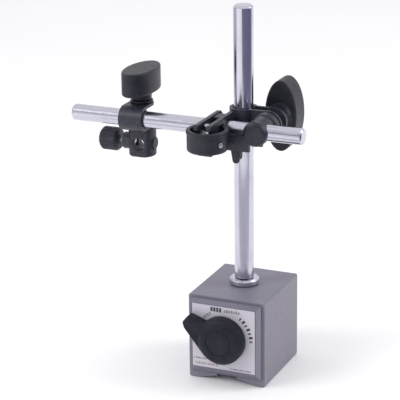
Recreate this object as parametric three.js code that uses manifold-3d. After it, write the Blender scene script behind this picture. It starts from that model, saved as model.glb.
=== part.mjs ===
// A magnetic-base indicator stand: a switchable magnetic base, a chromed column, a clamp that carries a
// level arm, a fine-adjustment unit over the arm, and a swivelling stem holder at the arm's end.
// Millimetres, +Z up. The switch faces -Y. Sizes are given from the column's axis; ORIGIN moves the whole
// stand so that it stands at z = 0 with the middle of its outline over the origin.
import * as THREE from "three";
import { mergeVertices } from "three/addons/utils/BufferGeometryUtils.js";
import Module from "manifold-3d";

const wasm = await Module();
wasm.setup();

// ---- driving dimensions -------------------------------------------------------------------------------
const ORIGIN = { x: 29, y: 10.5 }; // where the column's axis stands
const GAP = 0.25; // running or seating gap between neighbouring pieces
const ROUND = 32; // facets of an ordinary round piece
const FINE_ROUND = 40; // facets of the larger round pieces

const BASE = { width: 50, depth: 58, height: 55, edge: 1.2 };
const GROOVE = { foot: 19.5, inner: 6.5, rise: 3, ceiling: 4.8 }; // half widths and heights of the V groove
const SPACER_HALF = 6.2; // half width of the brass bars between the two poles
const ROTOR = { z: 30.8, radius: 16, front: -24, back: 18.6 };
const BORE = ROTOR.radius + 0.5;
const COVER = { half: 23.2, low: 4.9, high: 53.4, thick: 5, step: 0.9 }; // its sides slope above the step
const COVER_FACE = { half: 21.3, low: 9.4, high: 52 };
const PLATE_FIELD = { half: 20.9, low: 9.8, high: 51.6 }; // the pale printed plate on the cover
const KNOB_DISC = { radius: 15, back: 0.6, face: 5.8, dome: 8.4 };
const LEVER = { lower: 218, upper: 134 }; // where the lever's two edges leave the disc, in degrees
const LEVER_TIP = [{ reach: 24.5, at: 166 }, { reach: 26.5, at: 159 }, { reach: 25.2, at: 145 }];
const COLUMN = { radius: 6, top: 231 };
const LOCK_NUT = { radius: 9.2, height: 4 };

const CLAMP_Z = 160; // height of the arm's axis and of the main clamp's middle
const ARM = { radius: 5, y: -20, left: -104, right: 46 };
const BOLT_X = 17.5; // the main clamp's bolt runs along Y at this x
const BAND = { thick: 1.8, height: 17 };
const LINER = 0.5; // wall of the split liners
const BOLT = 3; // radius of both clamp bolts

const DRUM = { x: -7, y: -39.5, outer: 12.5, inner: 10, low: 151.5, high: 164.5, floor: 2.4 };
const LEVERS = { offset: 3.9, thick: 2.6, top: 168.3, front: -47.8, back: -9.4 };
const PIVOT = { y: -12, z: 157, radius: 1.2 };
const TRUNNION = { z: 160.8, radius: 3.6, journal: 1.8 };
const ADJUSTER = 2; // radius of the adjusting screw

const HOLDER = { x: -63.5, y: -9, width: 14.8 };
const STEM = { z: 142, radius: 4, block: 8.5, flat: 6.6, low: 134 };

// ---- shape helpers --------------------------------------------------------------------------------------
const AXES = {
  x: [new THREE.Vector3(0, 1, 0), new THREE.Vector3(0, 0, 1), new THREE.Vector3(1, 0, 0)],
  y: [new THREE.Vector3(1, 0, 0), new THREE.Vector3(0, 0, 1), new THREE.Vector3(0, -1, 0)],
  z: [new THREE.Vector3(1, 0, 0), new THREE.Vector3(0, 1, 0), new THREE.Vector3(0, 0, 1)],
};

// Turns geometry drawn with its depth along Z so that its depth runs along the named axis.
function turned(geometry, axis) {
  return geometry.applyMatrix4(new THREE.Matrix4().makeBasis(...AXES[axis]));
}

// An outline extruded from lo to hi along an axis. It is drawn in (y, z) for x, (x, z) for y, (x, y) for z.
function plate(axis, shape, lo, hi, bevel = 0) {
  const geometry = new THREE.ExtrudeGeometry(shape, {
    depth: hi - lo - 2 * bevel,
    curveSegments: 12,
    bevelEnabled: bevel > 0,
    bevelThickness: bevel,
    bevelSize: bevel,
    bevelOffset: -bevel,
    bevelSegments: 1,
  });
  geometry.translate(0, 0, bevel);
  turned(geometry, axis);
  const shift = axis === "y" ? hi : lo;
  return geometry.translate(axis === "x" ? shift : 0, axis === "y" ? shift : 0, axis === "z" ? shift : 0);
}

// Moves geometry made about an axis through the origin to the point (u, v) across that axis.
function across(geometry, axis, u, v) {
  const at = { x: [0, u, v], y: [u, 0, v], z: [u, v, 0] }[axis];
  return geometry.translate(...at);
}

// A round piece about an axis through (u, v), from pairs [radius, place along the axis], first to last.
function turnedPiece(axis, pairs, u, v, facets = ROUND) {
  const profile = [...pairs];
  if (profile[0][0] > 0) profile.unshift([0, profile[0][1]]);
  if (profile.at(-1)[0] > 0) profile.push([0, profile.at(-1)[1]]);
  const geometry = new THREE.LatheGeometry(
    profile.map(([r, h]) => new THREE.Vector2(r, h)),
    facets,
  );
  geometry.rotateX(Math.PI / 2);
  if (axis === "x") geometry.rotateY(Math.PI / 2);
  if (axis === "y") geometry.rotateX(-Math.PI / 2);
  return across(geometry, axis, u, v);
}

function cylinder(axis, radius, lo, hi, u, v, facets = ROUND) {
  return turnedPiece(axis, [[radius, lo], [radius, hi]], u, v, facets);
}

function box(x0, x1, y0, y1, z0, z1) {
  const made = new THREE.BoxGeometry(x1 - x0, y1 - y0, z1 - z0);
  return made.translate((x0 + x1) / 2, (y0 + y1) / 2, (z0 + z1) / 2);
}

function outline(points) {
  return new THREE.Shape(points.map(([u, v]) => new THREE.Vector2(u, v)));
}

// ---- boolean helpers ------------------------------------------------------------------------------------
function solid(geometry) {
  if (!geometry.isBufferGeometry) return geometry;
  const loose = geometry.index ? geometry.toNonIndexed() : geometry;
  const plain = new THREE.BufferGeometry();
  plain.setAttribute("position", loose.getAttribute("position"));
  const merged = mergeVertices(plain, 1e-4);
  return new wasm.Manifold(
    new wasm.Mesh({
      numProp: 3,
      vertProperties: merged.attributes.position.array,
      triVerts: new Uint32Array(merged.index.array),
    }),
  );
}

const join = (...parts) => parts.map(solid).reduce((a, b) => a.add(b));
const cut = (from, ...tools) => tools.map(solid).reduce((a, b) => a.subtract(b), solid(from));
const common = (a, b) => solid(a).intersect(solid(b));

function geometryOf(made) {
  const mesh = solid(made).getMesh();
  const geometry = new THREE.BufferGeometry();
  geometry.setAttribute("position", new THREE.BufferAttribute(new Float32Array(mesh.vertProperties), 3));
  geometry.setIndex(new THREE.BufferAttribute(new Uint32Array(mesh.triVerts), 1));
  const flat = geometry.toNonIndexed();
  flat.computeVertexNormals();
  return flat;
}

// ---- materials ------------------------------------------------------------------------------------------
function finish(color, roughness, metalness) {
  return new THREE.MeshStandardMaterial({ color, roughness, metalness });
}

const MATERIAL = {
  base_paint: finish(0x8c8a98, 0.45, 0.2),
  plate: finish(0xcfccd6, 0.4, 0.3),
  chrome: finish(0xd8d8e0, 0.12, 1),
  black: finish(0x2a2b33, 0.5, 0.1),
  black_steel: finish(0x34343d, 0.4, 0.6),
  brass: finish(0xb89a58, 0.35, 0.9),
  magnet: finish(0x3c3a3c, 0.7, 0.3),
  steel: finish(0x9a9aa2, 0.35, 0.9),
};

const stand = new THREE.Group();
function add(name, material, made) {
  const mesh = new THREE.Mesh(geometryOf(made), MATERIAL[material]);
  mesh.name = name;
  mesh.geometry.translate(ORIGIN.x, ORIGIN.y, 0);
  stand.add(mesh);
}

// ---- magnetic base --------------------------------------------------------------------------------------
const blockFront = -BASE.depth / 2;
const baseBack = BASE.depth / 2;
const REAR_COVER = 1.8;
const rearCoverFront = baseBack - REAR_COVER;
const blockBack = rearCoverFront - GAP;
const coverBack = blockFront - GAP;
const coverFront = coverBack - COVER.thick;

// The four screws of the rear cover, near its corners.
const rearScrewPlaces = [-1, 1].flatMap((side) => [10.5, 48.5].map((z) => [side * (COVER.half - 3), z]));
const rearScrewHoles = (lo, hi) => rearScrewPlaces.map(([x, z]) => cylinder("y", 1.75, lo, hi, x, z, 12));

// One iron pole: a half block with its half of the rotor bore. side is 1 for the right one, -1 for the left.
function poleBlock(side) {
  const inner = SPACER_HALF + GAP;
  const chord = Math.sqrt(BORE ** 2 - inner ** 2);
  const sweep = Math.asin(chord / BORE);
  const wide = BASE.width / 2;
  const shape = new THREE.Shape();
  shape.moveTo(inner, BASE.height);
  shape.lineTo(inner, ROTOR.z + chord);
  shape.absarc(0, ROTOR.z, BORE, sweep, -sweep, true);
  shape.lineTo(inner, GROOVE.ceiling);
  shape.lineTo(GROOVE.inner, GROOVE.ceiling);
  shape.lineTo(GROOVE.inner, GROOVE.rise);
  shape.lineTo(GROOVE.foot, 0);
  shape.lineTo(wide - BASE.edge, 0);
  shape.lineTo(wide, BASE.edge);
  shape.lineTo(wide, BASE.height - BASE.edge);
  shape.lineTo(wide - BASE.edge, BASE.height);
  let block = solid(plate("y", shape, blockFront, blockBack));
  if (side < 0) block = block.mirror([1, 0, 0]);
  return cut(block, ...rearScrewHoles(blockBack - 8, baseBack));
}

function spacerBar(low, high) {
  const bar = box(-SPACER_HALF, SPACER_HALF, blockFront, blockBack, low, high);
  return cut(bar, cylinder("y", BORE, blockFront - 1, blockBack + 1, 0, ROTOR.z, 48));
}

const STUD = { radius: 4, low: 49.4, high: 72 };
const BUSH = { front: 7.2, rear: 6 };
const SHAFT = { front: 5, rear: 4 };
const FRONT_DISC = { low: blockFront + 0.4, high: ROTOR.front - GAP }; // the rotor's front end disc, along Y
const REAR_DISC = { low: ROTOR.back + GAP, high: 24.4 };
const THROW = 90; // degrees the switch turns from off to on
const STOP = { radius: 1.2, at: 12.4 }; // the fixed pin that stands in the rotor's stop slot

// A block between two rectangles, from a wide one at the back to a narrower one in front.
function taperedBlock(front, rear, lo, hi) {
  const block = new THREE.BoxGeometry(2, 2, 2);
  const corners = block.attributes.position;
  for (let i = 0; i < corners.count; i += 1) {
    const end = corners.getY(i) < 0 ? front : rear;
    const x = end.half * corners.getX(i);
    const z = corners.getZ(i) < 0 ? end.low : end.high;
    corners.setXYZ(i, x, corners.getY(i) < 0 ? lo : hi, z);
  }
  return block;
}

function coverFrame() {
  return cut(
    join(
      box(-COVER.half, COVER.half, coverBack - COVER.step, coverBack, COVER.low, COVER.high),
      taperedBlock(COVER_FACE, COVER, coverFront, coverBack - COVER.step),
    ),
    plateField(coverFront - 1, coverFront + 0.7, 0),
    cylinder("y", BUSH.front + GAP, coverFront - 1, coverBack + 1, 0, ROTOR.z, 32),
    cylinder("y", STOP.radius + GAP, coverFront + 1, coverBack + 1, 0, ROTOR.z - STOP.at, 12),
  );
}

function plateField(lo, hi, inset) {
  const half = PLATE_FIELD.half - inset;
  return box(-half, half, lo, hi, PLATE_FIELD.low + inset, PLATE_FIELD.high - inset);
}

function namePlate() {
  return cut(
    plateField(coverFront + 0.1, coverFront + 0.45, GAP),
    cylinder("y", BUSH.front + GAP, coverFront - 1, coverBack + 1, 0, ROTOR.z, 32),
  );
}

function rearCover() {
  const half = COVER.half + 1;
  return cut(
    box(-half, half, rearCoverFront, baseBack, COVER.low + 0.5, COVER.high + 0.6),
    cylinder("y", BUSH.rear + GAP, rearCoverFront - 1, baseBack + 1, 0, ROTOR.z, 32),
    ...rearScrewHoles(rearCoverFront - 1, baseBack + 1),
  );
}

function bush(outer, inner, lo, hi) {
  const hole = cylinder("y", inner, lo - 1, hi + 1, 0, ROTOR.z, 32);
  return cut(cylinder("y", outer, lo, hi, 0, ROTOR.z, 32), hole);
}

function buildBase() {
  add("pole_block_left", "base_paint", poleBlock(-1));
  add("pole_block_right", "base_paint", poleBlock(1));
  add("spacer_bottom", "brass", spacerBar(GROOVE.ceiling, ROTOR.z));
  const studHole = cylinder("z", STUD.radius + GAP, STUD.low - 0.5, BASE.height + 1, 0, 0, 24);
  add("spacer_top", "brass", cut(spacerBar(ROTOR.z, BASE.height), studHole));
  add("front_cover", "plate", coverFrame());
  add("name_plate", "plate", namePlate());
  add("rear_cover", "base_paint", rearCover());
  rearScrewPlaces.forEach(([x, z], i) => {
    const under = baseBack + 0.15;
    const profile = [[1.5, blockBack - 7.5], [1.5, under], [2.9, under], [2.6, baseBack + 1.5]];
    add(`rear_cover_screw_${i + 1}`, "steel", turnedPiece("y", profile, x, z, 12));
  });
  add("front_bush", "brass", bush(BUSH.front, SHAFT.front + GAP, coverFront + 0.5, coverBack));
  add("rear_bush", "brass", bush(BUSH.rear, SHAFT.rear + GAP, rearCoverFront, baseBack - 0.1));
  const pinEnds = [coverFront + 1.3, FRONT_DISC.low + 1.8];
  add("stop_pin", "steel", cylinder("y", STOP.radius, ...pinEnds, 0, ROTOR.z - STOP.at, 12));
}

// ---- rotor and switch knob ------------------------------------------------------------------------------
// The curved slot in the rotor's front disc. The stop pin stands at its lower end with the switch off.
function stopSlot() {
  const half = STOP.radius + 0.35;
  const ends = [-Math.PI / 2, -Math.PI / 2 + THREE.MathUtils.degToRad(THROW)];
  const lo = FRONT_DISC.low - 1;
  const hi = FRONT_DISC.low + 2.4;
  const slot = new THREE.Shape();
  slot.absarc(0, ROTOR.z, STOP.at + half, ends[0], ends[1], false);
  slot.absarc(0, ROTOR.z, STOP.at - half, ends[1], ends[0], true);
  const holes = ends.map((a) => {
    return cylinder("y", half, lo, hi, STOP.at * Math.cos(a), ROTOR.z + STOP.at * Math.sin(a), 12);
  });
  return join(plate("y", slot, lo, hi), ...holes);
}

// A D-shaped iron segment of the rotor above (side 1) or below (side -1) the flat magnet.
function rotorSegment(side) {
  const inner = ROTOR.z + side * 6.15;
  const outer = ROTOR.z + side * 20;
  const keep = box(-20, 20, -30, 30, Math.min(inner, outer), Math.max(inner, outer));
  return common(cylinder("y", ROTOR.radius, ROTOR.front, ROTOR.back, 0, ROTOR.z, 48), keep);
}

// The outline of the switch knob: the disc, and a lever that leaves it along two edges to a blunt tip.
function knobOutline() {
  const rad = THREE.MathUtils.degToRad;
  const shape = new THREE.Shape();
  shape.absarc(0, ROTOR.z, KNOB_DISC.radius, rad(LEVER.upper), rad(LEVER.lower) - 2 * Math.PI, true);
  for (const { reach, at } of LEVER_TIP) {
    shape.lineTo(reach * Math.cos(rad(at)), ROTOR.z + reach * Math.sin(rad(at)));
  }
  return shape;
}

function buildSwitch() {
  const back = coverFront - KNOB_DISC.back;
  const face = coverFront - KNOB_DISC.face;
  const top = coverFront - KNOB_DISC.dome;
  const round = (pairs, facets) => turnedPiece("y", pairs, 0, ROTOR.z, facets);
  add("magnet_core", "magnet", box(-14.8, 14.8, ROTOR.front, ROTOR.back, ROTOR.z - 6, ROTOR.z + 6));
  add("rotor_segment_upper", "steel", rotorSegment(1));
  add("rotor_segment_lower", "steel", rotorSegment(-1));
  const disc = ROTOR.radius - 0.2;
  const frontDisc = round([
    [4, top + 3.8], [4, coverFront - 0.4], [SHAFT.front, coverFront - 0.4], [SHAFT.front, FRONT_DISC.low],
    [disc, FRONT_DISC.low], [disc, FRONT_DISC.high],
  ], FINE_ROUND);
  const screwHole = cylinder("y", 1.75, top, top + 12, 0, ROTOR.z, 12);
  add("rotor_front_disc", "brass", cut(frontDisc, stopSlot(), screwHole));
  add("rotor_rear_disc", "brass", round([
    [disc, REAR_DISC.low], [disc, REAR_DISC.high],
    [SHAFT.rear, REAR_DISC.high], [SHAFT.rear, baseBack - 0.4],
  ], FINE_ROUND));
  const lever = plate("y", knobOutline(), face, back, 0.8);
  const rim = KNOB_DISC.radius;
  const dome = round([[10, top], [rim - 1.8, top + 0.8], [rim, top + 2.8], [rim, back]], 48);
  add("switch_knob", "black", cut(
    join(lever, dome),
    cylinder("y", 4 + GAP, top + 3.6, back + 1, 0, ROTOR.z, 32),
    cylinder("y", 1.75, top + 2, top + 5, 0, ROTOR.z, 12),
    cylinder("y", 3.6, top + 0.5, top + 2.4, 0, ROTOR.z, 24),
    cylinder("y", 8.2, top - 1, top + 0.9, 0, ROTOR.z, FINE_ROUND),
  ));
  const head = [[3.2, top + 1.1], [3.2, top + 2.3], [1.5, top + 2.3], [1.5, top + 11]];
  add("knob_screw", "steel", round(head, 12));
  add("knob_cap", "black", round([[6.4, top - 0.3], [7.9, top + 0.1], [7.9, top + 0.7]], FINE_ROUND));
}

// ---- column ---------------------------------------------------------------------------------------------
function buildColumn() {
  const nutLow = BASE.height + GAP;
  const nutHigh = nutLow + LOCK_NUT.height;
  const foot = nutHigh + GAP;
  const chamfer = 1.2;
  add("column_stud", "steel", cylinder("z", STUD.radius, STUD.low, STUD.high, 0, 0, 24));
  add("column_lock_nut", "chrome", cut(
    turnedPiece("z", [
      [LOCK_NUT.radius - 0.8, nutLow], [LOCK_NUT.radius, nutLow + 0.8],
      [LOCK_NUT.radius, nutHigh - 1], [LOCK_NUT.radius - 1.2, nutHigh],
    ], 0, 0, FINE_ROUND),
    cylinder("z", STUD.radius + GAP, nutLow - 1, nutHigh + 1, 0, 0, 24),
  ));
  add("column", "chrome", cut(
    turnedPiece("z", [
      [COLUMN.radius - 0.5, foot], [COLUMN.radius, foot + 0.5],
      [COLUMN.radius, COLUMN.top - chamfer], [COLUMN.radius - chamfer, COLUMN.top],
    ], 0, 0, FINE_ROUND),
    cylinder("z", STUD.radius + GAP, foot - 1, STUD.high + 0.5, 0, 0, 24),
  ));
}

// ---- main clamp -----------------------------------------------------------------------------------------
const bandIn = COLUMN.radius + 0.15 + LINER + 0.15;
const bandOut = bandIn + BAND.thick;
const bandLow = CLAMP_Z - BAND.height / 2;
const bandHigh = CLAMP_Z + BAND.height / 2;
const EAR = { inner: 3.4, outer: 3.4 + BAND.thick, radius: 8.7 }; // the band's ears, that the bolt closes

// A thin split sleeve round a rod along an axis. slit is the box that opens it.
function liner(axis, rod, lo, hi, u, v, slit) {
  return cut(
    cylinder(axis, rod + 0.15 + LINER, lo, hi, u, v, FINE_ROUND),
    cylinder(axis, rod + 0.15, lo - 1, hi + 1, u, v, FINE_ROUND),
    slit,
  );
}

function columnBand() {
  const ears = join(
    box(4, BOLT_X, -EAR.outer, EAR.outer, bandLow, bandHigh),
    cylinder("y", EAR.radius, -EAR.outer, EAR.outer, BOLT_X, CLAMP_Z, FINE_ROUND),
  );
  return cut(
    join(cylinder("z", bandOut, bandLow, bandHigh, 0, 0, FINE_ROUND), ears),
    cylinder("z", bandIn, bandLow - 1, bandHigh + 1, 0, 0, FINE_ROUND),
    box(0, BOLT_X + 12, -EAR.inner, EAR.inner, bandLow - 1, bandHigh + 1),
    cylinder("y", BOLT + GAP, -9, 9, BOLT_X, CLAMP_Z, 20),
  );
}

// The oval wing knob's outline, long along v.
function wingOutline(length, width) {
  const shape = new THREE.Shape();
  shape.absellipse(0, 0, width / 2, length / 2, 0, 2 * Math.PI, false, 0);
  return shape;
}

const MAIN_KNOB = { length: 44.5, width: 20.5, hub: 7, hubLow: 7.2, low: 15.4, high: 31 };
const HOLDER_KNOB = { length: 39, width: 19, hub: 6.2, hubLow: 169.4, low: 174.4, high: 189 };
const KNOB_NUT = { radius: 4.6, length: 7 }; // the brass nut moulded into each wing knob

// A wing knob about an axis through (u, v): the hub, the oval grip, and the pocket for its nut and bolt.
function wingKnob(axis, size, u, v) {
  const shape = wingOutline(size.length, size.width);
  const grip = across(plate(axis, shape, size.low, size.high, 1.1), axis, u, v);
  const taper = [[size.hub, size.hubLow], [size.hub, size.low - 2], [size.hub + 1.6, size.low + 1.5]];
  const nutHigh = size.hubLow + KNOB_NUT.length + GAP;
  return cut(
    join(grip, turnedPiece(axis, taper, u, v)),
    cylinder(axis, KNOB_NUT.radius + GAP, size.hubLow - 1, nutHigh, u, v, 24),
    cylinder(axis, BOLT + GAP, size.hubLow - 1, size.high - 3, u, v, 20),
  );
}

function knobNut(axis, size, u, v) {
  return cut(
    cylinder(axis, KNOB_NUT.radius, size.hubLow, size.hubLow + KNOB_NUT.length, u, v, 24),
    cylinder(axis, BOLT + GAP, size.hubLow - 1, size.hubLow + KNOB_NUT.length + 1, u, v, 20),
  );
}

const EYE = { radius: 7.6, front: -28, back: -12.2 };

function buildMainClamp() {
  const slit = box(4, 9, -1.5, 1.5, bandLow - 2, bandHigh + 2);
  add("column_liner", "brass", liner("z", COLUMN.radius, bandLow + 0.5, bandHigh - 0.5, 0, 0, slit));
  add("column_band", "black_steel", columnBand());
  const boltHole = (lo, hi) => cylinder("y", BOLT + GAP, lo, hi, BOLT_X, CLAMP_Z, 20);
  add("main_clamp_washer", "steel", cut(
    cylinder("y", 7.4, EAR.outer + GAP, MAIN_KNOB.hubLow - GAP, BOLT_X, CLAMP_Z),
    boltHole(0, 9),
  ));
  add("arm_saddle", "black_steel", cut(
    cylinder("y", 8.4, EYE.back + GAP, -EAR.outer - GAP, BOLT_X, CLAMP_Z, FINE_ROUND),
    boltHole(EYE.back - 1, 0),
  ));
  add("arm_eye_bolt", "black_steel", armEye());
  add("main_clamp_knob", "black", wingKnob("y", MAIN_KNOB, BOLT_X, CLAMP_Z));
  add("main_clamp_nut", "brass", knobNut("y", MAIN_KNOB, BOLT_X, CLAMP_Z));
}

const CHEEK = { left: -1.3, front: -27.6, back: -25.4, low: 149, high: 158.4 }; // it stands before the arm

// The round-headed bolt that the arm passes through. Its head carries the bracket of the fine adjustment.
function armEye() {
  const head = turnedPiece("y", [
    [EYE.radius - 2.2, EYE.front], [EYE.radius - 0.7, EYE.front + 0.6], [EYE.radius, EYE.front + 2],
    [EYE.radius, EYE.back], [BOLT, EYE.back], [BOLT, MAIN_KNOB.high - 4],
  ], BOLT_X, CLAMP_Z, FINE_ROUND);
  const bar = box(DRUM.x - 2.3, BOLT_X, -14.6, EYE.back, 149, BRACKET.top);
  const cheek = box(CHEEK.left, BOLT_X - 3, CHEEK.front, CHEEK.back, CHEEK.low, CHEEK.high);
  return cut(join(head, bar, cheek, bracket()), armHole(BOLT_X - 12, BOLT_X + 12, 0.15), linkScrewHole());
}

const armHole = (lo, hi, room) => cylinder("x", ARM.radius + room, lo, hi, ARM.y, CLAMP_Z, FINE_ROUND);

// ---- arm and fine adjustment ----------------------------------------------------------------------------
const BRACKET = { top: 154.6, shelfLow: 148.7, shelfHigh: 151.2 };
const LINK_SCREW = { x: 0.9, z: 151.7, radius: 1.3 };

const linkScrewHole = () => cylinder("y", LINK_SCREW.radius + 0.2, -17, -8, LINK_SCREW.x, LINK_SCREW.z, 12);

// The shelf under the drum and the upright between the two levers that their pivot pin passes through.
function bracket() {
  const half = LEVERS.offset - LEVERS.thick / 2 - 0.3;
  const shelf = box(DRUM.x - 4, DRUM.x + 4, DRUM.y - 3.5, EYE.back, BRACKET.shelfLow, BRACKET.shelfHigh);
  const upright = join(
    box(DRUM.x - half, DRUM.x + half, -14.4, -9.6, BRACKET.shelfLow, PIVOT.z),
    cylinder("x", 2.4, DRUM.x - half, DRUM.x + half, PIVOT.y, PIVOT.z, 24),
  );
  return cut(
    join(shelf, upright),
    cylinder("z", ADJUSTER + GAP, 145, 155, DRUM.x, DRUM.y, 20),
    cylinder("z", 3.4, 145, BRACKET.shelfLow + 1.4, DRUM.x, DRUM.y, 20),
    cylinder("x", PIVOT.radius + 0.2, DRUM.x - 6, DRUM.x + 6, PIVOT.y, PIVOT.z, 16),
  );
}

// The tongue that hangs from the bracket in front of the column.
function guideTongue() {
  const shape = new THREE.Shape();
  shape.moveTo(-4.3, 154.3);
  shape.lineTo(3, 154.3);
  shape.lineTo(2.8, 143);
  shape.absarc(-0.6, 138, 2.2, 0, -Math.PI, true);
  shape.lineTo(-4, 145);
  return cut(plate("y", shape, EYE.back + 0.3, -9.6), linkScrewHole());
}

// One of the two rocking levers: a bar over the drum, a lug inside it, and a deep web round the arm.
function rockingLever(side) {
  const shape = outline([
    [LEVERS.front, 165.2],
    [DRUM.y - 5, 165.2], [DRUM.y - 3.6, 158.2], [DRUM.y + 3.6, 158.2], [DRUM.y + 5, 165.2],
    [-26.7, 165.2], [-26.7, 156], [-24, 153.1], [-15.3, 153.1], [-15.3, 154.9], [LEVERS.back - 1.5, 154.9],
    [LEVERS.back, 156.4], [LEVERS.back, LEVERS.top - 2.5], [LEVERS.back - 2.5, LEVERS.top],
    [LEVERS.front + 1.5, LEVERS.top], [LEVERS.front, LEVERS.top - 1.2],
  ]);
  const x = DRUM.x + side * LEVERS.offset;
  return cut(
    plate("x", shape, x - LEVERS.thick / 2, x + LEVERS.thick / 2),
    armHole(-20, 10, 0.6),
    cylinder("x", PIVOT.radius + 0.2, -20, 10, PIVOT.y, PIVOT.z, 16),
    cylinder("x", TRUNNION.journal + GAP, -20, 10, DRUM.y, TRUNNION.z, 20),
  );
}

function drum() {
  const wall = turnedPiece("z", [
    [DRUM.outer - 1.2, DRUM.low], [DRUM.outer - 0.4, DRUM.low + 0.8],
    [DRUM.outer - 0.4, DRUM.high - 2.6], [DRUM.outer, DRUM.high - 2.2],
    [DRUM.outer, DRUM.high - 0.5], [DRUM.outer - 0.5, DRUM.high],
  ], DRUM.x, DRUM.y, 48);
  return cut(
    wall,
    cylinder("z", DRUM.inner, DRUM.low + DRUM.floor, DRUM.high + 1, DRUM.x, DRUM.y, 48),
    cylinder("z", ADJUSTER + GAP, DRUM.low - 1, DRUM.high, DRUM.x, DRUM.y, 20),
    drumPin(GRIP_PIN.radius + 0.2, DRUM.inner - 1, DRUM.outer + 1),
  );
}

const GRIP_PIN = { radius: 1.5, z: 157.2, angle: -28 };

// A round pin set radially in the drum's wall.
function drumPin(radius, lo, hi) {
  const pin = cylinder("x", radius, lo, hi, 0, GRIP_PIN.z, 16);
  return pin.rotateZ(THREE.MathUtils.degToRad(GRIP_PIN.angle)).translate(DRUM.x, DRUM.y, 0);
}

function buildFineAdjustment() {
  const left = DRUM.x - LEVERS.offset - LEVERS.thick / 2;
  const right = DRUM.x + LEVERS.offset + LEVERS.thick / 2;
  add("guide_tongue", "black_steel", guideTongue());
  add("link_screw", "steel", turnedPiece("y", [
    [1.6, -16], [2.3, -15.4], [2.3, -14.8], [LINK_SCREW.radius, -14.8], [LINK_SCREW.radius, -9.8],
  ], LINK_SCREW.x, LINK_SCREW.z, 20));
  add("pivot_pin", "steel", turnedPiece("x", [
    [1.6, left - 1.5], [2.2, left - 1], [2.2, left - GAP], [PIVOT.radius, left - GAP],
    [PIVOT.radius, right + GAP], [2.2, right + GAP], [2.2, right + 1], [1.6, right + 1.5],
  ], PIVOT.y, PIVOT.z, 20));
  add("rocking_lever_left", "black_steel", rockingLever(-1));
  add("rocking_lever_right", "black_steel", rockingLever(1));
  const nut = LEVERS.offset - LEVERS.thick / 2 - GAP; // half the room between the levers
  const pad = box(DRUM.x - nut, DRUM.x + nut, ARM.y - 4.5, ARM.y + 4.5, 165.7, 167.7);
  add("pressure_pad", "black_steel", pad);
  add("trunnion_nut", "steel", cut(
    turnedPiece("x", [
      [TRUNNION.journal, left + 0.2], [TRUNNION.journal, DRUM.x - nut], [TRUNNION.radius, DRUM.x - nut],
      [TRUNNION.radius, DRUM.x + nut], [TRUNNION.journal, DRUM.x + nut], [TRUNNION.journal, right - 0.2],
    ], DRUM.y, TRUNNION.z, 24),
    cylinder("z", ADJUSTER + 0.4, 150, 170, DRUM.x, DRUM.y, 20),
  ));
  add("adjusting_screw", "steel", turnedPiece("z", [
    [3, BRACKET.shelfLow], [3, BRACKET.shelfLow + 1.15],
    [ADJUSTER, BRACKET.shelfLow + 1.15], [ADJUSTER, 166.6], [ADJUSTER - 0.7, 167.3],
  ], DRUM.x, DRUM.y, 20));
  add("fine_adjust_drum", "black", drum());
  add("drum_grip_pin", "steel", drumPin(GRIP_PIN.radius, DRUM.inner + 0.2, DRUM.outer + 0.5));
}

function buildArm() {
  const chamfer = 0.8;
  add("arm", "chrome", turnedPiece("x", [
    [ARM.radius - chamfer, ARM.left], [ARM.radius, ARM.left + chamfer],
    [ARM.radius, ARM.right - chamfer], [ARM.radius - chamfer, ARM.right],
  ], ARM.y, CLAMP_Z, FINE_ROUND));
}

// ---- stem holder ----------------------------------------------------------------------------------------
const HOLDER_BAND = { inner: ARM.radius + 0.15 + LINER + 0.15, thick: 1.8 };

// A strap round the front of the arm, with two flat ears behind it that the bolt passes through.
function holderBand() {
  const inner = HOLDER_BAND.inner;
  const outer = inner + HOLDER_BAND.thick;
  const end = HOLDER.y + HOLDER.width / 2;
  const profile = new THREE.Shape();
  profile.moveTo(end, CLAMP_Z + inner);
  profile.lineTo(end, CLAMP_Z + outer);
  profile.absarc(ARM.y, CLAMP_Z, outer, Math.PI / 2, (3 * Math.PI) / 2, false);
  profile.lineTo(end, CLAMP_Z - outer);
  profile.lineTo(end, CLAMP_Z - inner);
  profile.absarc(ARM.y, CLAMP_Z, inner, (3 * Math.PI) / 2, Math.PI / 2, true);
  const strap = plate("x", profile, HOLDER.x - HOLDER.width / 2, HOLDER.x + HOLDER.width / 2);
  const keep = join(
    box(HOLDER.x - 10, HOLDER.x + 10, ARM.y - 12, HOLDER.y, 140, 180),
    cylinder("z", HOLDER.width / 2, 140, 180, HOLDER.x, HOLDER.y, FINE_ROUND),
  );
  return cut(common(strap, keep), cylinder("z", BOLT + GAP, 140, 180, HOLDER.x, HOLDER.y, 24));
}

const blockTop = CLAMP_Z - HOLDER_BAND.inner - HOLDER_BAND.thick - GAP;
const stemFront = HOLDER.y - STEM.flat;
const stemBack = HOLDER.y + STEM.flat;

// The round block with the stem hole through it from front to back, and the screw hole from the left.
function stemBlock() {
  const round = turnedPiece("z", [
    [STEM.block - 1, STEM.low], [STEM.block, STEM.low + 1],
    [STEM.block, blockTop - 0.6], [STEM.block - 0.6, blockTop],
  ], HOLDER.x, HOLDER.y, FINE_ROUND);
  const slab = box(HOLDER.x - 12, HOLDER.x + 12, stemFront, stemBack, STEM.low - 1, blockTop + 1);
  const boss = cylinder("x", 5.2, HOLDER.x - 12, HOLDER.x, HOLDER.y, STEM.z, 32);
  return cut(
    join(common(round, slab), boss),
    cylinder("y", STEM.radius + 0.1, stemFront - 1, stemBack + 1, HOLDER.x, STEM.z, FINE_ROUND),
    cylinder("x", SCREW.radius + GAP, HOLDER.x - 14, HOLDER.x, HOLDER.y, STEM.z, 20),
    cylinder("x", PLUG.radius + GAP, HOLDER.x + PLUG.low, HOLDER.x + 12, HOLDER.y, STEM.z, 24),
    cylinder("z", BOLT + GAP, blockTop - 4.4, blockTop + 1, HOLDER.x, HOLDER.y, 24),
  );
}

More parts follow.
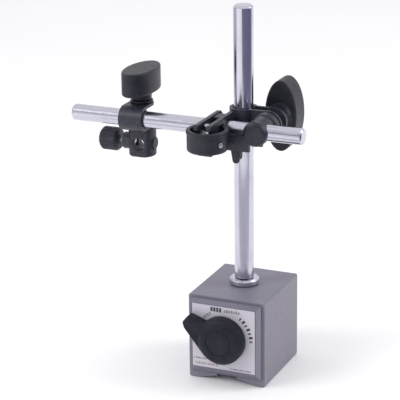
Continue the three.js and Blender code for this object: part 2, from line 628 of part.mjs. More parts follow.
const SCREW = { radius: 2.5, tip: -4.7, knobRight: -15, knobLeft: -27.4, knob: 7.3 };
const PLUG = { radius: 4, low: 6, high: 9 };

function buildStemHolder() {
  const x0 = HOLDER.x - HOLDER.width / 2 + 0.4;
  const x1 = HOLDER.x + HOLDER.width / 2 - 0.4;
  const slit = box(x0 - 1, x1 + 1, ARM.y + 3, ARM.y + 8, CLAMP_Z - 1.2, CLAMP_Z + 1.2);
  add("holder_liner", "brass", liner("x", ARM.radius, x0, x1, ARM.y, CLAMP_Z, slit));
  add("holder_band", "black_steel", holderBand());
  const bandTop = CLAMP_Z + HOLDER_BAND.inner + HOLDER_BAND.thick;
  add("holder_washer", "steel", cut(
    cylinder("z", 7, bandTop + GAP, HOLDER_KNOB.hubLow - GAP, HOLDER.x, HOLDER.y, 32),
    cylinder("z", BOLT + GAP, 160, 175, HOLDER.x, HOLDER.y, 24),
  ));
  const bolt = cylinder("z", BOLT, blockTop - 4, HOLDER_KNOB.high - 4, HOLDER.x, HOLDER.y, 24);
  add("holder_bolt", "steel", bolt);
  add("holder_knob", "black", wingKnob("z", HOLDER_KNOB, HOLDER.x, HOLDER.y));
  add("holder_nut", "brass", knobNut("z", HOLDER_KNOB, HOLDER.x, HOLDER.y));
  add("stem_block", "black_steel", stemBlock());
  add("stem_block_plug", "black", turnedPiece("x", [
    [PLUG.radius, HOLDER.x + PLUG.low + 0.3], [PLUG.radius, HOLDER.x + PLUG.high - 0.6],
    [PLUG.radius - 0.6, HOLDER.x + PLUG.high],
  ], HOLDER.y, STEM.z, 24));
  const left = HOLDER.x + SCREW.knobLeft;
  const right = HOLDER.x + SCREW.knobRight;
  add("stem_clamp_screw", "steel", turnedPiece("x", [
    [SCREW.radius, left + 2], [SCREW.radius, HOLDER.x + SCREW.tip - 0.8],
    [SCREW.radius - 0.7, HOLDER.x + SCREW.tip],
  ], HOLDER.y, STEM.z, 20));
  add("stem_clamp_knob", "black", cut(
    turnedPiece("x", [
      [SCREW.knob - 1.6, left], [SCREW.knob, left + 1.4],
      [SCREW.knob, right - 1.6], [SCREW.knob - 1.4, right],
    ], HOLDER.y, STEM.z, 32),
    cylinder("x", SCREW.radius + 0.2, left + 1.8, right + 1, HOLDER.y, STEM.z, 20),
  ));
}

buildBase();
buildSwitch();
buildColumn();
buildMainClamp();
buildArm();
buildFineAdjustment();
buildStemHolder();

export default stand;
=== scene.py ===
"""A magnetic base indicator stand: the finished looks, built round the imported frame.

Shapes are drawn in millimetres from the column's axis, with z = 0 on the floor, and turned into metres in the
row frame when they become pieces.
"""
import math

import bmesh
import bpy
from mathutils import Matrix, Vector


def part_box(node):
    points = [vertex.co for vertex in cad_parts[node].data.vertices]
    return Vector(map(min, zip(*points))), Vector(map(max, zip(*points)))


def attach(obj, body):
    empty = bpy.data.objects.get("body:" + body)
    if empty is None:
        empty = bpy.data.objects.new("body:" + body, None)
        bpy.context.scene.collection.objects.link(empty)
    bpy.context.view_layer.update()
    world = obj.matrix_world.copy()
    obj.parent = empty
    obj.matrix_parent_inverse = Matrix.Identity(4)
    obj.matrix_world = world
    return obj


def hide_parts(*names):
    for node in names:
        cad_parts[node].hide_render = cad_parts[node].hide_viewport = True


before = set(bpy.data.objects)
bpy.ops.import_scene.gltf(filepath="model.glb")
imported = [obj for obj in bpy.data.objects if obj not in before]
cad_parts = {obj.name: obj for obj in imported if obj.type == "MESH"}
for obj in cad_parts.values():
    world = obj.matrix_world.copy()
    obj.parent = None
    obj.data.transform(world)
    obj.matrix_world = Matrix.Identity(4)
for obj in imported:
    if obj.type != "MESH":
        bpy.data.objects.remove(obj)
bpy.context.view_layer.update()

column_low, column_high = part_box("column")
COLUMN = Vector(((column_low.x + column_high.x) / 2, (column_low.y + column_high.y) / 2, 0))

# ---- sizes, in mm from the column's axis ----------------------------------------------------------------
BASE_HALF, BASE_FRONT, BASE_BACK, BASE_TOP = 25, -29, 26.95, 55
SPACER_HALF = 6.2
GROOVE = {"half": 6.5, "top": 4.8, "step": 3, "foot": 19.5}
REAR_COVER_FRONT, REAR_COVER_BACK = 27.2, 29
COVER_SCREW_X, COVER_SCREW_Z, COVER_SCREW_HOLE = 20, (10.5, 48.5), 1.75
SWITCH_Z, ROTOR_BORE, SHAFT_HOLE, SWITCH_WINDOW = 30.8, 16.5, 4.25, 7.45
COVER = {"half": 23.2, "low": 4.9, "high": 53.4, "front": -34.25, "step": -30.15, "back": -29.25}
COVER_FACE = {"half": 21.3, "low": 9.4, "high": 52}
PRINTED = {"half": 20.65, "low": 10.05, "high": 51.35}
COLUMN_R, COLUMN_LOW, COLUMN_TOP, STUD_HOLE = 6, 59.5, 231, 4.25
ARM_Y, ARM_Z, ARM_R, ARM_LEFT, ARM_RIGHT = -20, 160, 5, -104, 46
BOLT_X, BOLT_HOLE = 17.5, 3.25
LINK_X, LINK_Z, LINK_HOLE = 0.9, 151.7, 1.5
PIVOT_Y, PIVOT_Z, PIVOT_HOLE = -12, 157, 1.4
DRUM_X, DRUM_Y, DRUM_SCREW_HOLE = -7, -39.5, 2.25
TRUNNION_Z, TRUNNION_HOLE = 160.8, 2.05
HOLDER_X, HOLDER_Y = -63.5, -9
STEM_Z = 142
ROUND, VERY_ROUND = 96, 128  # facets


# ---- drawing helpers ------------------------------------------------------------------------------------
def point(axis, u, v, w):
    """A point w along the axis and (u, v) across it: (y, z) for x, (x, z) for y and (x, y) for z."""
    return {"x": (w, u, v), "y": (u, w, v), "z": (u, v, w)}[axis]


def linked(name, data):
    obj = bpy.data.objects.new(name, data)
    bpy.context.scene.collection.objects.link(obj)
    return obj


def made(name, bm):
    bmesh.ops.remove_doubles(bm, verts=bm.verts, dist=1e-4)
    bmesh.ops.recalc_face_normals(bm, faces=bm.faces)
    mesh = bpy.data.meshes.new(name)
    bm.to_mesh(mesh)
    bm.free()
    return linked(name, mesh)


def filleted(points, radius, steps=6, closed=True):
    """The polyline with its corners rounded. radius is one number, or one for each corner."""
    n = len(points)
    radii = radius if isinstance(radius, (list, tuple)) else [radius] * n
    out = []
    for i, p in enumerate(points):
        p = Vector(p)
        if (not closed and i in (0, n - 1)) or radii[i] <= 0:
            out.append(p)
            continue
        a, b = Vector(points[i - 1]) - p, Vector(points[(i + 1) % n]) - p
        room = 0.49 * min(a.length, b.length)
        a.normalize()
        b.normalize()
        half = a.angle(b) / 2
        if half > math.radians(87):
            out.append(p)
            continue
        cut = min(radii[i] / math.tan(half), room)
        r = cut * math.tan(half)
        centre = p + (a + b).normalized() * (r / math.sin(half))
        start, end = p + a * cut - centre, p + b * cut - centre
        turn = start.angle_signed(end)
        for k in range(steps + 1):
            out.append(centre + Matrix.Rotation(-turn * k / steps, 2) @ start)
    return [tuple(p) for p in out]


def arc(u, v, r, start, end, n):
    angles = [math.radians(start + (end - start) * k / n) for k in range(n + 1)]
    return [(u + r * math.cos(a), v + r * math.sin(a)) for a in angles]


def add_loops(bm, axis, sections):
    """One loop of corners for each section, given as (outline, place along the axis)."""
    return [[bm.verts.new(point(axis, u, v, w)) for u, v in outline] for outline, w in sections]


def add_walls(bm, loops):
    """Faces between each loop and the next, where all have equally many corners."""
    for one, two in zip(loops, loops[1:]):
        for i in range(len(one)):
            j = (i + 1) % len(one)
            bm.faces.new((one[i], one[j], two[j], two[i]))


def add_loft(bm, axis, sections):
    loops = add_loops(bm, axis, sections)
    add_walls(bm, loops)
    bm.faces.new(loops[0][::-1])
    bm.faces.new(loops[-1])


def lofted(name, axis, *sections):
    """A solid through outlines of equally many points, each given as (outline, place along the axis)."""
    bm = bmesh.new()
    add_loft(bm, axis, sections)
    return made(name, bm)


def prism(name, axis, outline, lo, hi):
    return lofted(name, axis, (outline, lo), (outline, hi))


def shrunk(outline, inset):
    """A convex outline moved inward by inset at every point."""
    n = len(outline)
    area = sum(outline[i - 1][0] * outline[i][1] - outline[i][0] * outline[i - 1][1] for i in range(n))
    out = []
    for i, (u, v) in enumerate(outline):
        before, after = Vector(outline[i - 1]), Vector(outline[(i + 1) % n])
        along = (after - before).normalized()
        inward = Vector((-along.y, along.x)) * (1 if area > 0 else -1)
        out.append((u + inward.x * inset, v + inward.y * inset))
    return out


def pillow(name, axis, outline, lo, hi, edge, steps=5):
    """A prism whose two ends have rounded edges."""
    turns = [math.radians(90 * k / steps) for k in range(steps + 1)]
    first = [(shrunk(outline, edge * (1 - math.sin(a))), lo + edge * (1 - math.cos(a))) for a in turns]
    last = [(ring, lo + hi - w) for ring, w in reversed(first)]
    return lofted(name, axis, *first, *last)


def rectangle(half, low, high, corner=0.0):
    return filleted([(-half, low), (half, low), (half, high), (-half, high)], corner, 5)


def slab(name, x0, x1, y0, y1, z0, z1):
    return prism(name, "z", [(x0, y0), (x1, y0), (x1, y1), (x0, y1)], z0, z1)


def spun(name, axis, profile, u, v, facets=ROUND, ripple=None):
    """A round piece about the axis through (u, v). profile is [(radius, place)], from axis to axis.

    ripple(angle, radius, place) gives a change of radius, for grips.
    """
    bm = bmesh.new()
    rings = []
    for r, w in profile:
        if r < 1e-6:
            rings.append([bm.verts.new(point(axis, u, v, w))])
            continue
        ring = []
        for k in range(facets):
            a = 2 * math.pi * k / facets
            rr = r + (ripple(a, r, w) if ripple else 0)
            ring.append(bm.verts.new(point(axis, u + rr * math.cos(a), v + rr * math.sin(a), w)))
        rings.append(ring)
    for one, two in zip(rings, rings[1:]):
        for k in range(facets):
            m = (k + 1) % facets
            corners = [one[k % len(one)], one[m % len(one)], two[m % len(two)], two[k % len(two)]]
            bm.faces.new(list(dict.fromkeys(corners)))
    return made(name, bm)


def rod(name, axis, radius, lo, hi, u, v, edge=0.0, facets=ROUND):
    profile = filleted([(0, lo), (radius, lo), (radius, hi), (0, hi)], edge, 4, closed=False)
    return spun(name, axis, profile, u, v, facets)


def hole(axis, radius, lo, hi, u, v, facets=48):
    """A plain round cutter."""
    return rod("hole", axis, radius, lo, hi, u, v, facets=facets)


def hoop(name, axis, section, u, v, facets=ROUND):
    """A ring about the axis through (u, v), with a closed section [(radius, place)]."""
    bm = bmesh.new()
    angles = [2 * math.pi * k / facets for k in range(facets)]
    rings = [([(u + r * math.cos(a), v + r * math.sin(a)) for a in angles], w) for r, w in section]
    loops = add_loops(bm, axis, rings)
    add_walls(bm, loops + loops[:1])
    return made(name, bm)


def holed(name, radius, *sections):
    """A plate across Y through rectangles (size, place), with a round hole about the switch's axis."""
    per_side = 24
    rings = []
    for size, place in sections:
        corners = rectangle(size["half"], size["low"], size["high"])
        ring = []
        for i, corner in enumerate(corners):
            start, end = Vector(corner), Vector(corners[(i + 1) % 4])
            ring += [tuple(start.lerp(end, k / per_side)) for k in range(per_side)]
        rings.append((ring, place))
    angles = [math.atan2(v - SWITCH_Z, u) for u, v in rings[-1][0]]
    circle = [(radius * math.cos(a), SWITCH_Z + radius * math.sin(a)) for a in angles]
    rings += [(circle, rings[-1][1]), (circle, rings[0][1])]
    bm = bmesh.new()
    loops = add_loops(bm, "y", rings)
    add_walls(bm, loops + loops[:1])
    return made(name, bm)


def settled(obj):
    """Applies the modifiers of obj."""
    depsgraph = bpy.context.evaluated_depsgraph_get()
    mesh = bpy.data.meshes.new_from_object(obj.evaluated_get(depsgraph))
    obj.modifiers.clear()
    old = obj.data
    obj.data = mesh
    bpy.data.meshes.remove(old)
    return obj


def joined(obj, others, operation):
    for other in others:
        modifier = obj.modifiers.new("with", "BOOLEAN")
        modifier.operation = operation
        modifier.solver = "EXACT"
        modifier.object = other
        settled(obj)
        bpy.data.objects.remove(other)
    return obj


def fused(obj, *others):
    return joined(obj, others, "UNION")


def carved(obj, *cutters):
    return joined(obj, cutters, "DIFFERENCE")


def kept(obj, within):
    return joined(obj, [within], "INTERSECT")


def softened(obj, width, segments=3, angle=32, spare=None):
    """Rounds every sharp edge, but those whose middle spare(place) names."""
    bevel = obj.modifiers.new("edges", "BEVEL")
    bevel.width = width
    bevel.segments = segments
    bevel.limit_method = "ANGLE"
    bevel.angle_limit = math.radians(angle)
    if spare:
        bm = bmesh.new()
        bm.from_mesh(obj.data)
        weight = bm.edges.layers.float.new("bevel_weight_edge")
        for edge in bm.edges:
            sharp = len(edge.link_faces) == 2 and edge.calc_face_angle() > bevel.angle_limit
            middle = (edge.verts[0].co + edge.verts[1].co) / 2
            edge[weight] = 1.0 if sharp and not spare(middle) else 0.0
        bm.to_mesh(obj.data)
        bm.free()
        bevel.limit_method = "WEIGHT"
    bevel.miter_outer = "MITER_ARC"
    return settled(obj)


def moulded(obj, voxel, rounds):
    """Remeshes obj and smooths it, as a moulded or cast piece with a small radius in every corner."""
    remesh = obj.modifiers.new("skin", "REMESH")
    remesh.mode = "VOXEL"
    remesh.voxel_size = voxel
    smooth = obj.modifiers.new("round", "SMOOTH")
    smooth.factor = 0.5
    smooth.iterations = rounds
    return settled(obj)


def heaped(obj, *others):
    """Puts the others' faces into obj. moulded() then makes one skin of them."""
    bm = bmesh.new()
    bm.from_mesh(obj.data)
    for other in others:
        bm.from_mesh(other.data)
        bpy.data.objects.remove(other)
    bm.to_mesh(obj.data)
    bm.free()
    return obj


def piece(obj, body, material, slot, *nodes, angle=40):
    """Finishes obj: metres, smooth shading, its material and its body, and hides the CAD nodes it stands for.
    """
    obj.data.transform(Matrix.Translation(COLUMN) @ Matrix.Scale(0.001, 4))
    mesh = obj.data
    mesh.shade_smooth()
    mesh.set_sharp_from_angle(angle=math.radians(angle))
    mesh.materials.clear()
    mesh.materials.append(material)
    weighted = obj.modifiers.new("normals", "WEIGHTED_NORMAL")
    weighted.keep_sharp = True
    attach(obj, body)
    if nodes:
        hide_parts(*nodes)
    return obj


# ---- materials ------------------------------------------------------------------------------------------
class Nodes:
    """A short way to write a node tree."""

    def __init__(self, name):
        self.material = bpy.data.materials.new(name)
        self.material.use_nodes = True
        self.tree = self.material.node_tree
        self.shader = self.tree.nodes["Principled BSDF"]
        self.place = self.add("ShaderNodeTexCoord").outputs["Object"]

    def add(self, kind, inputs=None, **settings):
        node = self.tree.nodes.new(kind)
        for key, value in settings.items():
            setattr(node, key, value)
        for key, value in (inputs or {}).items():
            if isinstance(value, bpy.types.NodeSocket):
                self.tree.links.new(value, node.inputs[key])
            else:
                node.inputs[key].default_value = value
        return node

    def noise(self, scale, detail=2.0, rough=0.5, stretch=None):
        where = self.place
        if stretch:
            where = self.add("ShaderNodeMapping", {"Vector": where, "Scale": stretch}).outputs["Vector"]
        inputs = {"Vector": where, "Scale": scale, "Detail": detail, "Roughness": rough}
        return self.add("ShaderNodeTexNoise", inputs).outputs["Fac"]

    def span(self, value, low, high, to_low, to_high):
        inputs = {"Value": value, "From Min": low, "From Max": high, "To Min": to_low, "To Max": to_high}
        return self.add("ShaderNodeMapRange", inputs).outputs["Result"]

    def mix(self, factor, one, two, blend="MIX"):
        node = self.add("ShaderNodeMix", data_type="RGBA", blend_type=blend)
        for socket, value in zip((node.inputs[0], node.inputs[6], node.inputs[7]), (factor, one, two)):
            if isinstance(value, bpy.types.NodeSocket):
                self.tree.links.new(value, socket)
            else:
                socket.default_value = value
        return node.outputs[2]

    def maths(self, operation, one, two):
        return self.add("ShaderNodeMath", {0: one, 1: two}, operation=operation).outputs[0]

    def edges(self, low, high):
        pointiness = self.add("ShaderNodeNewGeometry").outputs["Pointiness"]
        return self.span(pointiness, low, high, 0, 1)

    def bump(self, height, distance, strength=1.0, under=None):
        inputs = {"Height": height, "Distance": distance, "Strength": strength}
        if under:
            inputs["Normal"] = under
        return self.add("ShaderNodeBump", inputs).outputs["Normal"]

    def finish(self, **sockets):
        for key, value in sockets.items():
            socket = self.shader.inputs[key.replace("_", " ")]
            if isinstance(value, bpy.types.NodeSocket):
                self.tree.links.new(value, socket)
            else:
                socket.default_value = value
        return self.material


def rgb(r, g, b):
    """A display colour, 0 to 255, as linear light."""
    def linear(c):
        c /= 255
        return c / 12.92 if c <= 0.04045 else ((c + 0.055) / 1.055) ** 2.4
    return (linear(r), linear(g), linear(b), 1)


def grey_paint():
    """The base's enamel: fine flecks over an orange-peel surface."""
    n = Nodes("base_paint")
    tone = n.mix(n.span(n.noise(30, 2), 0.35, 0.65, 0, 1), rgb(117, 113, 127), rgb(121, 117, 130))
    fleck = n.span(n.noise(1900, 2, 0.6), 0.45, 0.62, 0, 1)
    tone = n.mix(n.maths("MULTIPLY", fleck, 0.14), tone, rgb(104, 101, 115))
    rough = n.span(n.noise(320, 3), 0.3, 0.7, 0.36, 0.46)
    orange_peel = n.bump(n.noise(1300, 2), 0.00003, 0.5)
    fine_grain = n.bump(n.noise(3600, 2), 0.00001, 0.4, orange_peel)
    return n.finish(Base_Color=tone, Roughness=rough, Normal=fine_grain, Specular_IOR_Level=0.5)


def chrome(axis):
    """Polished plating, with faint lines left by grinding round the axis."""
    n = Nodes(f"chrome_{axis}")
    stretch = {"x": (14, 1, 1), "z": (1, 1, 14)}[axis]
    smudge = n.span(n.noise(70, 4, 0.6), 0.45, 0.75, 0, 1)
    tone = n.mix(smudge, rgb(206, 206, 216), rgb(196, 195, 208))
    lines = n.noise(520, 3, 0.7, stretch)
    rough = n.maths("ADD", n.span(smudge, 0, 1, 0.15, 0.22), n.span(lines, 0.3, 0.7, 0, 0.06))
    return n.finish(Base_Color=tone, Metallic=1.0, Roughness=rough, Normal=n.bump(lines, 0.000004, 0.35))


def bright_steel(name, colour, rough=0.28):
    """Turned steel or brass: fine machining marks and a little staining."""
    n = Nodes(name)
    dark = tuple(c * 0.72 for c in colour[:3]) + (1,)
    tone = n.mix(n.span(n.noise(420, 4, 0.65), 0.42, 0.72, 0, 0.8), colour, dark)
    marks = n.noise(2600, 3, 0.7)
    roughness = n.span(n.noise(600, 3), 0.3, 0.7, rough - 0.06, rough + 0.12)
    return n.finish(Base_Color=tone, Metallic=1.0, Roughness=roughness, Normal=n.bump(marks, 0.000012, 0.4))


def black_finish(name, colour, sheen, grain, wear_colour, wear, gloss=0.4):
    """Black moulded plastic or blackened metal, lighter where hands and tools have rubbed its edges."""
    n = Nodes(name)
    paler = tuple(min(1, c * 1.5 + 0.004) for c in colour[:3]) + (1,)
    tone = n.mix(n.span(n.noise(150, 4, 0.6), 0.4, 0.7, 0, 1), colour, paler)
    rubbed = n.maths("MULTIPLY", n.edges(0.53, 0.62), n.span(n.noise(700, 3, 0.7), 0.4, 0.62, 0, wear))
    tone = n.mix(rubbed, tone, wear_colour)
    rough = n.span(n.noise(480, 3), 0.3, 0.7, sheen - 0.05, sheen + 0.08)
    coarse = n.bump(n.noise(grain, 2, 0.6), 0.00004, 0.45)
    fine = n.bump(n.noise(grain * 3.1, 2), 0.000015, 0.5, coarse)
    return n.finish(Base_Color=tone, Roughness=rough, Normal=fine, Specular_IOR_Level=gloss)


def plate_metal():
    """The pale printed plate: a matt clear coat over a brushed sheet."""
    n = Nodes("plate_metal")
    lines = n.noise(420, 3, 0.7, (1, 1, 22))
    tone = n.mix(n.span(lines, 0.3, 0.7, 0, 1), rgb(198, 194, 203), rgb(189, 185, 195))
    tone = n.mix(n.span(n.noise(90, 4), 0.55, 0.8, 0, 0.5), tone, rgb(180, 176, 186))
    rough = n.span(n.noise(500, 3), 0.3, 0.7, 0.34, 0.48)
    return n.finish(Base_Color=tone, Metallic=0.15, Roughness=rough, Normal=n.bump(lines, 0.000006, 0.4))


def cover_metal():
    """The cover's sheet, brushed and lightly lacquered."""
    n = Nodes("cover_metal")
    lines = n.noise(600, 3, 0.7, (1, 1, 16))
    tone = n.mix(n.span(lines, 0.3, 0.7, 0, 1), rgb(122, 118, 133), rgb(132, 128, 143))
    rough = n.span(n.noise(400, 3), 0.3, 0.7, 0.3, 0.42)
    return n.finish(Base_Color=tone, Metallic=0.55, Roughness=rough, Normal=n.bump(lines, 0.000008, 0.4))


def ink(name, colour):
    """Printing that is a little thin in places."""
    n = Nodes(name)
    thin = tuple(c * 1.6 + 0.01 for c in colour[:3]) + (1,)
    tone = n.mix(n.span(n.noise(900, 3, 0.6), 0.4, 0.7, 0, 1), colour, thin)
    rough = n.span(n.noise(1500, 2), 0.3, 0.7, 0.45, 0.6)
    return n.finish(Base_Color=tone, Roughness=rough, Normal=n.bump(n.noise(5200, 2), 0.000005, 0.4))


PAINT = grey_paint()
CHROME_X = chrome("x")
CHROME_Z = chrome("z")
STEEL = bright_steel("turned_steel", rgb(188, 187, 194))
BRASS = bright_steel("machined_brass", rgb(172, 148, 98), 0.34)
BRONZE = bright_steel("dark_bronze", rgb(92, 80, 62), 0.45)
IRON = bright_steel("rotor_iron", rgb(150, 148, 152), 0.4)
MAGNET = black_finish("sintered_magnet", rgb(60, 58, 62), 0.6, 1500, rgb(120, 118, 122), 0.3)
BLACK_METAL = black_finish("blackened_metal", rgb(31, 32, 43), 0.36, 1500, rgb(96, 96, 106), 0.18)
BLACK_PLASTIC = black_finish("moulded_black", rgb(27, 28, 38), 0.42, 1900, rgb(92, 94, 104), 0.3)
SWITCH_BLACK = black_finish("switch_black", rgb(21, 22, 34), 0.46, 1900, rgb(72, 74, 86), 0.2, 0.24)
PLATE = plate_metal()
COVER_METAL = cover_metal()
INK = ink("plate_ink", rgb(52, 50, 58))
PALE_INK = ink("pale_ink", rgb(116, 112, 118))
WARM_INK = ink("warm_ink", rgb(140, 131, 130))


# ---- magnetic base --------------------------------------------------------------------------------------
def pole(side):
    """One iron pole block. The edges where it meets the spacers stay sharp."""
    inner = SPACER_HALF + 0.13
    chord = math.sqrt(ROTOR_BORE ** 2 - inner ** 2)
    sweep = math.degrees(math.asin(chord / ROTOR_BORE))
    half, top, foot = GROOVE["half"], GROOVE["top"], GROOVE["foot"]
    outline = [(inner, BASE_TOP), (inner, SWITCH_Z + chord)]
    outline += arc(0, SWITCH_Z, ROTOR_BORE, sweep, -sweep, 32)[1:-1]
    outline += [(inner, SWITCH_Z - chord), (inner, top), (half, top), (half, GROOVE["step"]), (foot, 0)]
    corners = [(foot, 0), (BASE_HALF, 0), (BASE_HALF, BASE_TOP), (inner, BASE_TOP)]
    outline += filleted(corners, [0, 1.4, 1.2, 0], 5, closed=False)[1:-1]
    obj = prism("pole", "y", [(side * u, v) for u, v in outline], BASE_FRONT, BASE_BACK)
    screw_holes = [hole("y", COVER_SCREW_HOLE, 18, 30, side * COVER_SCREW_X, z, 24) for z in COVER_SCREW_Z]
    return softened(carved(obj, *screw_holes), 0.55, 4, spare=lambda at: abs(at.x) < 6.45 and at.z > 4)


def spacer(low, high):
    half = SPACER_HALF + 0.12
    obj = slab("spacer", -half, half, BASE_FRONT + 0.05, BASE_BACK, low, high)
    return carved(obj, rod("bore", "y", ROTOR_BORE, -40, 40, 0, SWITCH_Z))


def beside_a_pole(at):
    """True for a spacer's edges that meet a pole block, which stay sharp."""
    return abs(at.x) > 5


def build_base():
    for side, word in ((-1, "left"), (1, "right")):
        piece(pole(side), "base", PAINT, "base_paint", f"pole_block_{word}").name = f"painted_pole_{word}"
    top = carved(spacer(SWITCH_Z, BASE_TOP - 0.02), hole("z", STUD_HOLE, 48.9, 58, 0, 0))
    top = softened(top, 0.5, 4, spare=beside_a_pole)
    piece(top, "base", PAINT, "base_paint", "spacer_top").name = "painted_spacer_top"
    bottom = softened(spacer(GROOVE["top"], SWITCH_Z), 0.12, 2, spare=beside_a_pole)
    piece(bottom, "base", PAINT, "base_paint", "spacer_bottom").name = "painted_spacer_bottom"


def build_front_cover():
    front, back, step = COVER["front"], COVER["back"], COVER["step"]
    room, sunk = 0.25, 0.1  # the printed plate's gap all round and its depth below the cover's face
    field = {"half": PRINTED["half"] + room, "low": PRINTED["low"] - room, "high": PRINTED["high"] + room}
    rings = ((COVER, back), (COVER, step), (COVER_FACE, front), (field, front), (field, front + 0.5))
    cover = softened(holed("cover_frame", SWITCH_WINDOW, *rings), 0.3, 3, 20)
    piece(cover, "base", COVER_METAL, "cover_metal", "front_cover")
    sheet = holed("printed_plate", SWITCH_WINDOW, (PRINTED, front + 0.48), (PRINTED, front + sunk))
    piece(softened(sheet, 0.06, 2), "base", PLATE, "plate_metal", "name_plate")
    build_plate_marks(front + sunk)


def build_rear_cover():
    screws = [(x, z) for x in (-COVER_SCREW_X, COVER_SCREW_X) for z in COVER_SCREW_Z]
    through = (26, 30)
    rear = carved(
        prism("rear_plate", "y", rectangle(24.2, 5.4, 54, corner=1.2), REAR_COVER_FRONT, REAR_COVER_BACK),
        hole("y", 6.25, *through, 0, SWITCH_Z, ROUND),
        *[hole("y", COVER_SCREW_HOLE, *through, x, z, 32) for x, z in screws],
    )
    piece(softened(rear, 0.25, 3), "base", PAINT, "base_paint", "rear_cover")
    for i, (x, z) in enumerate(screws, 1):
        head = [(0, 19.5), (1.5, 19.5), (1.5, 29.15), (2.9, 29.15), (2.75, 30.1), (1.6, 30.5), (0, 30.5)]
        head = filleted(head, [0, 0.2, 0, 0.2, 0.5, 0.3, 0], 4, closed=False)
        screw = spun("pan_screw", "y", head, x, z, 48)
        turn = math.radians(20 + 47 * i)
        for extra in (0, math.pi / 2):  # the two slots of the cross recess
            blade = slab("blade", -1.6, 1.6, 29.7, 31, -0.28, 0.28)
            blade.data.transform(Matrix.Translation((x, 0, z)) @ Matrix.Rotation(turn + extra, 4, "Y"))
            carved(screw, blade)
        piece(screw, "base", STEEL, "steel", f"rear_cover_screw_{i}").name = f"pan_screw_{i}"


def build_bushes():
    bushes = (("front_bush", 7.2, 5.25, -33.75, -29.25), ("rear_bush", 6, SHAFT_HOLE, REAR_COVER_FRONT, 28.9))
    for name, outer, inner, lo, hi in bushes:
        ring = filleted([(inner, lo), (outer, lo), (outer, hi), (inner, hi)], 0.2, 3)
        piece(hoop(f"turned_{name}", "y", ring, 0, SWITCH_Z), "base", BRASS, "brass", name)


def flat_marks(name, material, outlines, lo, hi):
    """All the printed marks of one ink as one thin piece."""
    bm = bmesh.new()
    for outline in outlines:
        add_loft(bm, "y", ((outline, lo), (outline, hi)))
    piece(made(name, bm), "base", material, "black_plastic", angle=60)


def build_plate_marks(face):
    """Plain printed marks: bars above the knob, ticks on arcs beside it, and ruled lines below."""
    def bar(u0, u1, v0, v1):
        return [(u0, v0), (u1, v0), (u1, v1), (u0, v1)]

    def tick(angle, inner, outer, half):
        ca, sa = math.cos(math.radians(angle)), math.sin(math.radians(angle))
        corners = [(inner, -half), (outer, -half), (outer, half), (inner, half)]
        return [(r * ca - t * sa, SWITCH_Z + r * sa + t * ca) for r, t in corners]

    def ruled(u0, u1, v, thick, pitch):
        starts = [u0 + k * pitch for k in range(round((u1 - u0) / pitch))]
        ends = [u0 + (k + (0.84 if k % 3 else 0.6)) * pitch for k in range(len(starts))]
        return [bar(start, end, v, v + thick) for start, end in zip(starts, ends)]

    dark = [bar(-8.4 + 1.9 * i, -8.4 + 1.9 * i + 1.45, 47.7, 50.5) for i in range(4)]
    dark += [tick(52 - 8.4 * i, 17.1, 19.6 if i % 2 else 19.1, 0.75 if i % 2 else 0.5) for i in range(7)]
    pale = [bar(0.4 + 1.55 * i, 0.4 + 1.55 * i + 1.1, 47.9, 50 if i % 2 else 49.5) for i in range(7)]
    pale += [tick(120 + 5.2 * i, 16.6, 18.6, 0.5) for i in range(4)]
    pale += ruled(-20, -11.6, 15.2, 0.9, 1.5) + ruled(4.6, 18.8, 11, 0.9, 1.4)
    warm = ruled(-18.6, -3.2, 11.6, 1.5, 1.9)
    flat_marks("dark_marks", INK, dark, face - 0.03, face + 0.1)
    flat_marks("pale_marks", PALE_INK, pale, face - 0.03, face + 0.1)
    flat_marks("warm_marks", WARM_INK, warm, face - 0.02, face + 0.1)


# ---- switch ---------------------------------------------------------------------------------------------
def build_switch():
    front = COVER["front"]
    back, face, top = front - 0.6, front - 5.8, front - 8.4
    tip = [(24.5, 166), (26.5, 159), (25.2, 145)]  # the lever's tip: radius and angle about the switch's axis
    corners = [(r * math.cos(math.radians(a)), SWITCH_Z + r * math.sin(math.radians(a))) for r, a in tip]
    disc_radius, upper_root, lower_root = 14.95, 134, -142
    edge = arc(0, SWITCH_Z, disc_radius, upper_root, lower_root, 72)
    outline = edge + filleted([edge[-1], *corners, edge[0]], [0, 1.8, 2.2, 1.6, 0], 6, closed=False)[1:-1]
    lever = prism("lever", "y", outline, face, back)
    dome = [(0, top + 0.3), (7.9, top + 0.3), (8.4, top + 0.02), (10.2, top + 0.02), (13.2, top + 0.8),
            (14.92, top + 2.8), (14.92, back - 0.02), (0, back - 0.02)]
    dome = filleted(dome, [0, 0.3, 0.3, 4, 4, 1.6, 0.6, 0], 6, closed=False)
    dome = spun("dome", "y", dome, 0, SWITCH_Z)
    knob = carved(
        moulded(heaped(lever, dome), voxel=0.22, rounds=5),
        rod("cap_seat", "y", 8.12, top - 1, top + 0.9, 0, SWITCH_Z, facets=VERY_ROUND),
        rod("shaft_hole", "y", SHAFT_HOLE, top + 3.6, back + 1, 0, SWITCH_Z, facets=64),
    )
    piece(knob, "switch", SWITCH_BLACK, "black_plastic", "switch_knob").name = "switch_lever"
    cap = [(0, top - 0.25), (7.1, top - 0.05), (8.02, top + 0.25), (8.02, top + 0.75), (0, top + 0.75)]
    cap = filleted(cap, [0, 3, 0.4, 0.1, 0], 5, closed=False)
    cap = spun("switch_cap", "y", cap, 0, SWITCH_Z, VERY_ROUND)
    piece(cap, "switch", SWITCH_BLACK, "black_plastic", "knob_cap")


